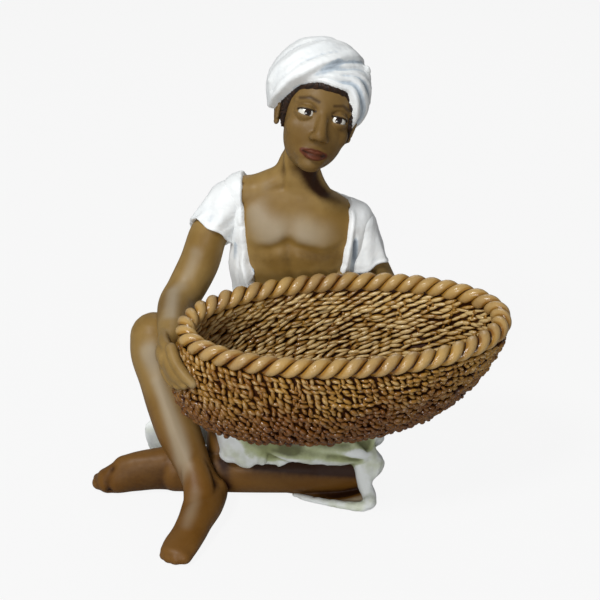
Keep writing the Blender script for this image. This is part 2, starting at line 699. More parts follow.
torso = {
    # level rings: x, y, z, half width, half depth, and how many degrees the ring drops towards +X
    "levels": [(0, 0, 2, 29, 23, 0), (0, 1, 24, 28, 22, 0), (-1, 4, 66, 22.5, 15, 0),
               (-1, 3, 87, 25.8, 16, 2), (-1, 1.5, 107, 28.5, 17, 4.5), (-1, 2, 120, 30.5, 15.5, 7),
               (-1, 3, 130, 30, 12, 9), (-0.8, 3, 136, 20, 10.2, 9), (-0.6, 2.5, 139, 11, 9.4, 5),
               (-0.5, 1.9, 143, 8.8, 9, 2), (0.6, -0.4, 154, 8.5, 8.8, 0), (3.8, -3.4, 168, 8.8, 9, 0)],
    "power": 2.3,
    "slopes": [
        [(-3.5, 0.5, 153, 5, 5.4), (-7, 1.5, 144.6, 6.2, 6.2), (-13.5, 2.5, 138.4, 7.6, 8.2),
         (-20, 3, 134.8, 8.4, 9), (-27, 3, 133.5, 8.8, 9.4)],
        [(4, 1, 150, 4.5, 4.5), (7.3, 2, 139, 5.5, 5), (12.5, 3, 130, 6.4, 5.6), (18, 3, 125, 7, 6.6),
         (26, 3, 121.5, 7, 7.2)],
    ],
    "thumb": {"centre": (21.5, -11.5, 97.8), "radii": (4.2, 3.2, 3)},
    "voxel": 0.62, "smooth": 10, "shade": (24, 1.1),
    # path, radius and depth: chest, ribs, breastbone, navel line, collarbones, throat
    "strokes": [
        ([(-17, -16, 122), (-13, -16, 121)], 10.5, 2),
        ([(6, -16, 120.5), (10, -16, 119.5)], 10.5, 2),
        ([(-26.5, -14, 113.5), (-22, -15, 111), (-14, -17, 113), (-7, -17, 116)], 3, -1.7),
        ([(-5, -17, 116), (1, -17, 113.5), (11.5, -17, 110), (20, -14, 112)], 3, -1.7),
        ([(-2, -13, 137), (-4, -16, 126), (-5.8, -17, 113)], 3.4, -0.9),
        ([(-5.5, -17, 110), (-4, -15, 92), (-3, -13, 72)], 2.8, -0.9),
        ([(-6, -8, 143), (-16, -7, 141.5)], 4, 0.9),
        ([(-10, -11, 136), (-22, -10, 135)], 3.5, -0.4),
        ([(6, -8, 141), (14, -7, 135.5)], 4, 0.5),
        ([(-2, -10, 137)], 2.2, -0.8),
        ([(-8, -5, 158), (-6.6, -7, 150), (-5.6, -8.5, 141)], 1.3, 0.9),
        ([(-2, -9, 150), (-2.4, -9.5, 142)], 2.4, -0.6),
    ],
    # path, radius and amount
    "stains": [
        ([(2.4, -9, 154), (6, -8, 143), (13, -6, 136.6), (19, -4, 135)], 5, 0.8),
        ([(6, -10, 158), (7, -7.5, 147), (12, -5, 140)], 5, 0.5),
        ([(-26.6, -2, 141), (-26.6, -9, 125), (-26.6, -9, 100), (-26.6, -7, 80)], 1, 0.8),
        ([(23.6, -2, 130), (22.4, -9, 114), (19, -10, 98)], 1, 0.8),
        ([(-25, -14, 107), (-16, -17, 107), (-9, -17, 109.5)], 5, 0.6),
        ([(1, -17, 109.5), (10, -17, 107), (20, -14, 107)], 5, 0.6),
        ([(-10, -17, 84), (0, -17, 86), (12, -16, 86)], 8, 0.3),
        ([(-1, -8, 166), (-4, -8, 158), (-7, -6, 150)], 7, 0.38),
        ([(8, 0, 166), (6, 2, 152)], 8, 0.3),
        ([(-20, -17, 128), (-15, -18, 121)], 8.5, -0.6),
        ([(0, -17, 127), (4, -18, 120)], 8.5, -0.5),
        ([(-20, -15, 128), (-4, -17, 127), (12, -15, 126)], 11, -0.35),
        ([(-16, -8, 139), (-22, -8, 132)], 5, -0.35),
    ],
}


def trunkRings(grow=0.0):
    # Level rings through the trunk's stations. Each is an oval, and it drops sideways with its tilt
    s = throughPoints(torso["levels"], 90)
    turn = around(72)[None, :]
    size = ovalSize(turn, torso["power"])
    x = (s[:, 3, None] + grow) * size * np.cos(turn)
    y = (s[:, 4, None] + grow) * size * np.sin(turn)
    z = s[:, 2, None] - x * np.tan(np.radians(s[:, 5, None]))
    return np.stack([s[:, 0, None] + x, s[:, 1, None] + y, z], -1)


def slopeForms(grow=0.0, below=200.0):  # the shoulders' slopes, as far as they lie below a height
    return [limb([(*p[:3], p[3] + grow, p[4] + grow) for p in path if p[2] < below], (0, 1, 0.01))
            for path in torso["slopes"]]


def makeTorso():
    forms = [closedForm(trunkRings()), *slopeForms(), ball(**torso["thumb"])]
    mesh = skinned("torso_skin", together(*forms), torso["voxel"], torso["smooth"])
    sculpted(mesh, torso["strokes"], 2)
    shadeHollows(mesh, torso["shade"], torso["stains"])
    piece("torso_skin", mesh, skinPaint("torsoPaint"), "skin_paint", "torso")
    report("torso")


# Head. Its shapes are worked out upright round its middle and then turned into place


eyes = {
    "x": 7.2, "y": -13.2, "z": 0.5, "radius": 3.9,  # mm
    "upper": 19, "upperEnd": 62, "lower": -15, "lowerEnd": -56, "lidTurn": 88,  # lids, in degrees
    "iris": 24, "pupil": 11, "soft": 1.5,  # degrees from the gaze
    "lidGap": 0.02, "lidWall": 0.85,  # mm from the eye to the lid's inside and outside
    "gaze": (0.02, -1.0, 0.06),
    "white": colour(226, 224, 214), "irisColour": colour(40, 22, 10), "pupilColour": colour(8, 5, 4),
    "gloss": {"Roughness": 0.16, "Coat Weight": 0.6, "Coat Roughness": 0.06},
}
head = {
    "middle": np.array([7.5, -5.5, 175.0]), "turn": turning("z", 5) @ turning("y", 17) @ turning("x", -14),
    "cranium": {"centre": (0, 2.94, 6), "radii": (17.5, 21, 19)},
    "jaw": {"centre": (0, -6.3, -8), "radii": (14, 13, 17)},
    "blend": 9, "scale": 0.985, "baseVoxel": 0.4, "baseSmooth": 60,
    "voxel": 0.315, "smooth": 5, "shade": (10, 2.4),
    "socketPlace": (-15.6, 1.4), "socketRadius": 4.4, "socketDepth": -2.4,
    "nose": [(0, -14.4, 6.5, 2.6, 2.4), (0, -16.2, 2.6, 2.2, 2.2), (0, -19, -2.6, 2.4, 2.4),
             (0, -21.6, -7.2, 3.0, 2.5), (0, -21.9, -8.6, 3.1, 2.2)],
    "nostril": {"centre": (2.9, -20.2, -9.0), "radii": (1.9, 2.6, 1.8)},
    "mouth": {"centre": (0, -12.8, -16.2), "radii": (8.4, 6.6, 6.0)},
    "chin": {"centre": (0, -12.6, -21.0), "radii": (6, 5.6, 4.0)},
    "cheek": {"centre": (8.4, -9.8, -6.4), "radii": (6.4, 5.6, 6.4)},
    "browBone": [(2.4, -15.8, 5.6, 1.7, 1.7), (7.2, -14.8, 6.4, 2.0, 2.0), (12.2, -11.2, 4.8, 1.6, 1.7)],
    "eyeCorner": {"centre": (11.2, -12.0, 0.4), "radii": (1.3, 2.0, 2.4)},
    "ear": {"centre": (17.2, 2.4, -1.4), "radii": (1.7, 3.7, 6)},
    "earRim": [(17.5, -0.8, -5, 0.85, 0.85), (18.1, -1.6, 1, 0.85, 0.85), (18.7, 1.5, 4.6, 0.85, 0.85),
               (18.8, 4.9, 3, 0.85, 0.85), (18.3, 5.3, -1, 0.85, 0.85), (17.5, 3.4, -5.2, 0.85, 0.85)],
    "earLobe": {"centre": (17.1, 0.8, -6.6), "radii": (1.3, 1.8, 1.9)},
    "upperLip": [(-5.3, -17.9, -15.8, 0.3, 0.3), (-2.9, -19.8, -15.5, 0.8, 0.8),
                 (-1.1, -20.4, -15.2, 0.95, 0.9), (0, -20.4, -15.4, 0.9, 0.9), (1.1, -20.4, -15.2, 0.95, 0.9),
                 (2.9, -19.8, -15.5, 0.8, 0.8), (5.3, -17.9, -15.8, 0.3, 0.3)],
    "lowerLip": [(-4.6, -18, -16.4, 0.3, 0.3), (-2.4, -19.5, -17.6, 0.95, 0.95), (0, -20.0, -17.9, 1.15, 1.1),
                 (2.4, -19.5, -17.6, 0.95, 0.95), (4.6, -18, -16.4, 0.3, 0.3)],
    "lipSeam": [(-5.3, -18, -15.9), (-2.6, -20.8, -16.4), (0, -21.4, -16.7), (2.6, -20.8, -16.4),
                (5.3, -18, -15.9)],
    "seamBack": 1.2, "seamRadius": 0.9, "seamDepth": -0.35, "seamWidth": 0.55,
    "brow": [(3.6, 6.4), (7.6, 7.4), (11.6, 6.0)],  # x and z
    # where the face's paint begins and ends, in mm, and the lashes in degrees
    "front": (8, 11), "lipEdge": (0.9, 1.5), "browEdge": (0.1, 1.3), "lidReach": (5.2, 5.8),
    "lashEdge": (3, 9),
    "coat": colour(84, 58, 26), "coatShare": 0.5, "lipColour": colour(96, 50, 30),
    "browColour": colour(44, 24, 8), "lashColour": colour(30, 16, 6),
    "strokes": [
        ([(0, -20.5, -11.8), (0, -20.8, -13.8)], 0.9, -0.3),
        ([(-1.8, -22.2, -11.0)], 0.8, -0.8),
        ([(1.8, -22.2, -11.0)], 0.8, -0.8),
        ([(-3.2, -18, -19.3), (0, -19.2, -19.6), (3.2, -18, -19.3)], 1.3, -0.4),
        ([(-11, -14, 3.4), (-7.5, -17, 4.4), (-3.6, -16.5, 3.0)], 0.7, -0.4),
        ([(11, -14, 3.4), (7.5, -17, 4.4), (3.6, -16.5, 3.0)], 0.7, -0.4),
    ],
}


def ontoNeck(mesh, points):  # points round the head's middle, turned and moved onto the neck
    move(mesh, points @ head["turn"].T + head["middle"])


def onSide(side, stations):  # the same stations on the head's side -1 or 1
    return [(side * x, *rest) for x, *rest in stations]


def ballOn(side, form):
    return ball(np.array(form["centre"]) * [side, 1, 1], form["radii"])


def reachOf(direction, centre, radii):  # distance from the origin to an ellipsoid's far side
    d, c = direction / radii, np.asarray(centre) / radii
    dd, dc = (d * d).sum(-1), (d * c).sum(-1)
    return (dc + np.sqrt(np.maximum(dc**2 - dd * ((c * c).sum() - 1), 0))) / dd


def skullRings(rows, columns):
    # A skull and a jaw, each an ellipsoid, by direction from the head's middle, as a sum of ninth powers
    polar = np.linspace(0.03, np.pi - 0.03, rows)[:, None]
    turn = around(columns)[None, :]
    x, y = np.sin(polar) * np.sin(turn), -np.sin(polar) * np.cos(turn)
    direction = np.stack([x, y, np.cos(polar) + 0 * turn], -1)
    cranium, jaw = (reachOf(direction, head[form]["centre"], np.array(head[form]["radii"], float))
                    for form in ("cranium", "jaw"))
    return direction, (cranium ** head["blend"] + jaw ** head["blend"]) ** (1 / head["blend"]) * head["scale"]


def lidForm(side, low, high):
    # A patch of a sphere's shell over the eye. Its edge follows the cosine of the turn, low at the corners
    turn = np.radians(np.linspace(-eyes["lidTurn"], eyes["lidTurn"], 44))[None, :]
    edge = low * np.cos(turn) ** 0.7
    rise = np.radians(edge + (high - edge) * np.linspace(0, 1, 24)[:, None])
    way = np.stack([side * np.sin(turn) * np.cos(rise), -np.cos(turn) * np.cos(rise), np.sin(rise)], -1)
    centre = np.array([side * eyes["x"], eyes["y"], eyes["z"]])
    outside, inside = eyes["radius"] + eyes["lidWall"], eyes["radius"] + eyes["lidGap"]
    return slab(centre + way * outside, centre + way * inside)


def headBase():
    # Skull, jaw, nose, cheeks, mouth and chin under one skin, drawn smooth before the finer parts go on
    direction, reach = skullRings(90, 120)
    bare = (direction * reach[..., None]).reshape(-1, 3)
    for side in (-1, 1):
        socket = [(side * eyes["x"], *head["socketPlace"])]
        stroke(bare, direction.reshape(-1, 3), socket, head["socketRadius"], head["socketDepth"])
    forms = [closedForm(bare.reshape(direction.shape)), limb(head["nose"], (1, 0, 0))]
    forms += [ball(**head["mouth"]), ball(**head["chin"])]
    for side in (-1, 1):
        forms += [ballOn(side, head["nostril"]), ballOn(side, head["cheek"])]
        forms.append(limb(onSide(side, head["browBone"]), (0, 0, 1)))
    mesh = skinned("headBase", together(*forms), head["baseVoxel"], head["baseSmooth"])
    return pointsOf(mesh), facesOf(mesh)


def faceForms():
    seam = [(x, y + head["seamBack"], z, *[head["seamRadius"]] * 2) for x, y, z in head["lipSeam"]]
    forms = [headBase()] + [limb(path, (0, 0, 1)) for path in (head["upperLip"], head["lowerLip"], seam)]
    for side in (-1, 1):
        forms += [lidForm(side, eyes[lid], eyes[lid + "End"]) for lid in ("upper", "lower")]
        forms += [ballOn(side, head["eyeCorner"]), ballOn(side, head["ear"])]
        forms += [limb(onSide(side, head["earRim"]), (0, 0.3, 1)), ballOn(side, head["earLobe"])]
    return together(*forms)


def facePaint(s, tone, rough):  # a darker coat, then lips, brows and lash lines
    tone = s.mix(head["coatShare"], tone, head["coat"])
    tone = s.mix(s.read("lips"), tone, head["lipColour"])
    tone = s.mix(s.read("brows") * 0.7, tone, head["browColour"])
    tone = s.mix(s.read("lashes") * 0.9, tone, head["lashColour"])
    return tone, rough + s.read("lips") * 0.05


def makeHead():
    mesh = skinned("head_skin", faceForms(), head["voxel"], head["smooth"])
    sculpted(mesh, [(head["lipSeam"], 0.7, head["seamDepth"]), *head["strokes"]])
    p = pointsOf(mesh)
    front = ease(-p[:, 1], *head["front"])
    lips = [away(p[:, [0, 2]], [(x, z) for x, y, z, *sizes in head[path]])
            for path in ("upperLip", "lowerLip", "lipSeam")]
    keep(mesh, "lips", (1 - ease(np.minimum.reduce(lips), *head["lipEdge"])) * front)
    fromBrow = away(np.stack([np.abs(p[:, 0]), p[:, 2]], -1), head["brow"])
    keep(mesh, "brows", (1 - ease(fromBrow, *head["browEdge"])) * front)
    seam = bell(away(p, head["lipSeam"]), head["seamWidth"]) * front
    fromEye = np.stack([np.abs(p[:, 0]), p[:, 1], p[:, 2]], -1) - [eyes["x"], eyes["y"], eyes["z"]]
    reach = np.linalg.norm(fromEye, axis=1)
    rise = np.degrees(np.arcsin(np.clip(fromEye[:, 2] / np.maximum(reach, 1e-6), -1, 1)))
    edge = eyes["upper"] * np.maximum(np.cos(np.arctan2(fromEye[:, 0], -fromEye[:, 1])), 0) ** 0.7
    onLid = (1 - ease(reach, *head["lidReach"])) * ease(-fromEye[:, 1], 0.2, 1.0)
    lash = 1 - ease(np.abs(rise - edge - 2), *head["lashEdge"])
    keep(mesh, "lashes", np.maximum(lash * onLid, seam))
    shadeHollows(mesh, head["shade"])
    ontoNeck(mesh, p)
    piece("head_skin", mesh, skinPaint("facePaint", facePaint), "skin_paint", "head")
    report("head")


def eyePaint():
    s = newSheet("eyePaint", eyes["gloss"])
    off, soft = s.read("fromGaze"), eyes["soft"]
    tone = s.mix(off.within(eyes["iris"] - soft, eyes["iris"] + soft), eyes["irisColour"], eyes["white"])
    tone = s.mix(off.within(eyes["pupil"] - soft, eyes["pupil"] + soft), eyes["pupilColour"], tone)
    s.feed(s.surface, {"Base Color": tone})
    return s.owner


def makeEyes():
    paint = eyePaint()
    for name, side in (("right_eye", -1), ("left_eye", 1)):
        centre = np.array([side * eyes["x"], eyes["y"], eyes["z"]])
        mesh = meshOf(name + "_ball", ball(centre, (eyes["radius"],) * 3, turning("x", 90), 60, 80))
        p = pointsOf(mesh)
        along = unit(p - centre) @ unit(np.array(eyes["gaze"]))
        keep(mesh, "fromGaze", np.degrees(np.arccos(np.clip(along, -1, 1))))
        ontoNeck(mesh, p)
        piece(name + "_ball", mesh, paint, "eye_gloss", name)
    report("eyes")


hair = {
    "rows": 240, "columns": 390,
    "lineAt": [0, 28, 48, 60, 69, 80, 87, 94, 108, 116, 130, 180],  # degrees round from the front
    "line": [11.8, 11.4, 9.0, 4, -3, -9, -6, 6, 6, -8, -14.5, -16],  # the hair's lower edge there, mm
    "thickness": 1.5, "sunk": 1.6, "groove": 0.3,  # mm
    "edge": (-0.7, 1.3), "edgeWander": 0.5, "wander": 0.3,  # mm
    "leftShift": 13, "shiftFrom": 22, "shiftTo": 44,  # degrees by which the line differs on the left
    "locks": 74, "broadLocks": 31,  # waves all round
    "bend": 0.16, "bends": 0.45, "bendWander": 0.05,
    "light": colour(50, 29, 13), "dark": colour(18, 8, 2),
    "finish": {"Roughness": 0.55, "Specular IOR Level": 0.35},
}


def makeHair():
    # The skull's own surface, lifted where there is hair and sunk below the skin elsewhere. Fine grooves run
    # down from the crown as waves of the turn, bent a little by height
    h = hair
    direction, reach = skullRings(h["rows"], h["columns"])
    bare = direction * reach[..., None]
    way = np.arctan2(bare[..., 0], -bare[..., 1])
    turn = np.degrees(np.abs(way))
    turn = turn + h["leftShift"] * ease(turn, h["shiftFrom"], h["shiftTo"]) * (bare[..., 0] > 0)
    wander = ripple(bare.reshape(-1, 3), 5, 5).reshape(reach.shape)
    above = bare[..., 2] - np.interp(turn, h["lineAt"], h["line"])
    inside = ease(above + h["edgeWander"] * wander, *h["edge"])
    bend = h["bend"] * np.sin(bare[..., 2] * h["bends"] + 2 * way) + h["bendWander"] * wander
    grooves = np.sin(h["locks"] * (way + bend)) * 0.5 + np.sin(h["broadLocks"] * (way + bend * 1.6) + 1) * 0.5
    lift = h["thickness"] + h["groove"] * grooves + h["wander"] * wander
    lift = inside * lift - (1 - inside) * h["sunk"]
    mesh = meshOf("hair_locks", closedForm(direction * (reach + lift)[..., None]))
    keep(mesh, "hollow", np.append(-0.9 * (grooves * inside).ravel(), [0, 0]))
    ontoNeck(mesh, pointsOf(mesh))
    s = newSheet("hairPaint", h["finish"])
    tone = s.mix(s.read("hollow").within(-0.7, 0.8), h["light"], h["dark"])
    s.feed(s.surface, {"Base Color": tone, "Normal": s.bump(s.noise(0.9), 0.08)})
    piece("hair_locks", mesh, s.owner, "hair_paint", "hair")
    report("hair")


# Turban


turban = {
    "middle": (-0.7, 3, 11), "radii": (24.9, 26.5, 24.2), "origin": (-1.0, 2.0, 6.0),
    "rows": 240, "columns": 400, "lowest": 136,  # degrees from the top
    "overEdge": (16.6, 0.8, -0.57), "underEdge": (-6.4, -0.14, -1.01),  # height, rise per mm of x and of y
    "lift": 3.2, "liftX": 12, "liftWidth": 6, "drop": 6, "dropFrom": 9, "dropTo": 20,
    "side": (4, 18), "sideShare": 0.55, "topStep": 1.1,  # the folds are flatter towards the left
    "folds": 5, "step": 0.9, "edge": 1.7, "edgeDepth": 3.2, "sunk": 9.5, "swell": 0.16,
    "wander": (0.15, 0.5), "soft": 0.55, "backFrom": 4, "backShare": 0.15,
    "ripples": [(0.22, 11, 21), (0.07, 3.5, 22)], "shade": (24, 2.0),
    "strokes": [
        ([(-24, -6, 6), (-20, -14, 16), (-10, -16, 26), (4, -12, 33)], 1.8, -0.8),
        ([(-24.5, -2, 10), (-19, -9, 22), (-8, -10, 31), (6, -7, 35)], 1.8, 0.7),
        ([(-25, 2, 12), (-19, -2, 26), (-8, -3, 34)], 2, -0.8),
        ([(-22, 8, 20), (-14, 6, 31), (-2, 5, 35)], 2, 0.6),
        ([(-18, -17, 8), (-10, -21, 16), (0, -20, 23)], 1.5, -0.7),
        ([(15, -7, 26), (20, -6, 22.5)], 1.5, 1.5),
        ([(21.5, -5, 18), (22, 0, 14)], 1.6, -0.6),
    ],
    "stains": [
        ([(2.2, -24, 196), (9.6, -21, 200), (17.6, -15, 203.3)], 2.8, 0.7),
        ([(27, -14, 190), (30, -8, 178), (29, -6, 170)], 6, 0.4),
    ],
}


def turbanForm():
    # A dome by direction from a place inside the head. Folds of cloth fan out from one point over the brow:
    # each begins at a slanting plane, between the plane of the lowest fold and that of the topmost, and
    # stands a little further out than the one below. Its edge is a quarter circle
    k = turban
    polar = np.radians(np.linspace(2, k["lowest"], k["rows"]))[:, None]
    turn = around(k["columns"])[None, :]
    origin = np.array(k["origin"])
    way = np.stack([np.sin(polar) * np.cos(turn), np.sin(polar) * np.sin(turn), np.cos(polar) + 0 * turn], -1)
    dome = reachOf(way, np.array(k["middle"]) - origin, np.array(k["radii"], float))
    x, y, z = np.moveaxis(origin + way * dome[..., None], -1, 0)
    back = np.where(y > k["backFrom"], k["backFrom"] + (y - k["backFrom"]) * k["backShare"], y)
    wander = ripple(np.stack([x, y, z], -1).reshape(-1, 3), 16, 2).reshape(dome.shape)
    reach = dome - k["sunk"]
    over, under = np.array(k["overEdge"]), np.array(k["underEdge"])
    side, last = ease(x, *k["side"]), k["folds"] - 1
    for n in range(k["folds"]):
        share = n / last
        a, b, c = under + (over - under) * share ** 0.9
        lift = k["lift"] * (1 - share) * bell(x - k["liftX"], k["liftWidth"]) * (y < 0)
        lift = lift - k["drop"] * (1 - share) * ease(x, k["dropFrom"], k["dropTo"])
        above = (z - a - b * x - c * back - lift) / np.sqrt(1 + b * b + c * c)
        above = above + k["wander"][n > 0] * wander
        part = np.clip(above / k["edge"], 0, 1)
        sunk = (last - n) * k["step"] * (1 - k["sideShare"] * side)
        sunk = sunk + k["topStep"] * (n < last) * (1 - side)
        streaks = np.stack([x * 0.22, y * 0.22, above], -1).reshape(-1, 3)
        soft = k["soft"] * ripple(streaks, 7, 30 + n).reshape(dome.shape) * ease(above, 0.5, 3)
        fold = dome - sunk - k["edgeDepth"] * (1 - np.sqrt(1 - (1 - part) ** 2)) + soft
        fold = fold - k["swell"] * np.clip(above, 0, 9) * (n < last)
        reach = np.where(above > 0, np.maximum(reach, fold), reach)
    return closedForm(origin + way * reach[..., None])


def makeTurban():
    mesh = meshOf("turban_cloth", turbanForm())
    p = pointsOf(mesh)
    move(mesh, 0.6 * p + 0.4 * neighbourMean(mesh, p))
    sculpted(mesh, turban["strokes"])
    ontoNeck(mesh, pointsOf(mesh))
    move(mesh, rippled(mesh, turban["ripples"]))
    shadeHollows(mesh, turban["shade"], turban["stains"])
    piece("turban_cloth", mesh, clothPaint("turbanPaint", whiteLook), "white_cloth_paint", "turban")
    report("turban")


# Arms


arms = {  # paths are x, y, z, half width and half depth; fingers are turn and fall on the bowl at both ends
    "right": {
        "arm": [(-34.5, 3, 128.5, 9.4, 9.8), (-39, 1, 121, 9, 9.2), (-44, -1, 114, 9.2, 9.2),
                (-48, -4.5, 102, 9.4, 9.4), (-54, -10.5, 91.5, 9.2, 9.2), (-58, -19, 87.3, 8.8, 9),
                (-58.7, -30, 86.6, 8, 8.2), (-58.5, -43, 86.8, 6.9, 7.2), (-58, -54, 86.8, 5.6, 6),
                (-58.8, -61, 86, 4.2, 5.8), (-60.4, -68.5, 85.4, 3.4, 5), (-59.4, -74, 85, 2.6, 4.6)],
        "thumb": [(-60.5, -57, 89.5, 2.6, 2.8), (-60.2, -65, 91, 2.6, 2.6), (-58.5, -71, 91.2, 2.5, 2.4),
                  (-55.6, -76, 90.8, 2.1, 2.1)],
        "fingers": [(188, 0, 209, 0.14), (185, 0.03, 204, 0.18), (181, 0.08, 199, 0.22),
                    (178, 0.14, 193, 0.25)],
        "fingerLift": (5.4, 2.6),  # mm off the basket at the knuckle and at the tip
        "strokes": [
            ([(-52, -17, 97), (-50, -14, 89)], 3, -0.6),
            ([(-47, -11, 108), (-52, -17, 98)], 4.5, 0.7),
            ([(-56, 1, 106), (-58, -6, 95)], 4.5, 0.5),
            ([(-60.5, -24, 95), (-60, -38, 94)], 4, 0.4),
        ],
        "stains": [
            ([(-50, -12, 110), (-55, -18, 97)], 4.5, -0.6),
            ([(-59, -24, 96), (-59, -45, 94)], 4.5, -0.8),
            ([(-60, -66, 82), (-57, -72, 78)], 1.6, 0.8),
        ],
    },
    "left": {
        "arm": [(25.5, 4, 119.5, 9, 9.4), (28.5, 3.5, 108, 9, 9.4), (34.5, 3, 95, 9.2, 9.2),
                (40.5, 2.5, 82, 9, 9), (44, 1.5, 71, 8.8, 8.8), (46, -3, 67.5, 8.2, 8),
                (46.5, -10, 67.5, 6.4, 6.6), (46, -15.5, 69.5, 3.8, 6.2), (43, -19, 71, 3, 5.8)],
        "thumb": [(48, -12, 73, 2.6, 2.8), (50.5, -17, 77, 2.5, 2.5), (52.5, -20, 82, 2.1, 2.1)],
        "fingers": [(60, 0.34, 82, 0.3), (60, 0.42, 85, 0.39), (60, 0.5, 84, 0.48), (60, 0.58, 80, 0.57)],
        "fingerLift": (3.4, 2.9),
        "strokes": [],
        "stains": [([(42, -7, 92), (36, -8, 98)], 3, 0.5)],
    },
}
hand = {
    "places": (0, 0.35, 0.7, 1), "fingerRadii": (2.7, 2.7, 2.6, 2.1),
    "palmHalfWidths": (2.9, 3.1, 3.0, 1.8), "palmHalfDepth": 5.2,
    "voxel": 0.42, "smooth": 14, "shade": (16, 1.3),
}


def onBowl(turn, fall, out):  # a place on the outside of the basket
    return basketTurn @ bowlPoint(np.radians(turn), fall, -out, 0) + basketMiddle


def handForms(arm):  # four fingers laid on the basket's side, and a palm between them
    (near, far), fingers = arm["fingerLift"], []
    for start, startFall, end, endFall in arm["fingers"]:
        fingers.append([onBowl(start + (end - start) * t, startFall + (endFall - startFall) * t,
                               near + (far - near) * t) for t in hand["places"]])
    forms = [limb([(*at, r, r) for at, r in zip(finger, hand["fingerRadii"])], (0, 0, 1), 30, 20)
             for finger in fingers]
    middle = np.mean(fingers, 0)
    palm = [(*at, r, hand["palmHalfDepth"]) for at, r in zip(middle, hand["palmHalfWidths"])]
    return forms + [limb(palm, unit(middle[1] - basketMiddle), 30, 32)]


def makeArms():
    for side, arm in arms.items():
        forms = [limb(arm["arm"], (1, 0, 0.15), 90, 48), limb(arm["thumb"], (1, 0, 0), 30, 24)]
        forms = together(*forms, *handForms(arm))
        mesh = skinned(side + "_arm_skin", forms, hand["voxel"], hand["smooth"])
        sculpted(mesh, arm["strokes"])
        shadeHollows(mesh, hand["shade"], arm["stains"])
        piece(side + "_arm_skin", mesh, skinPaint(side + "ArmPaint"), "skin_paint", side + "_arm")
    report("arms")


# Legs


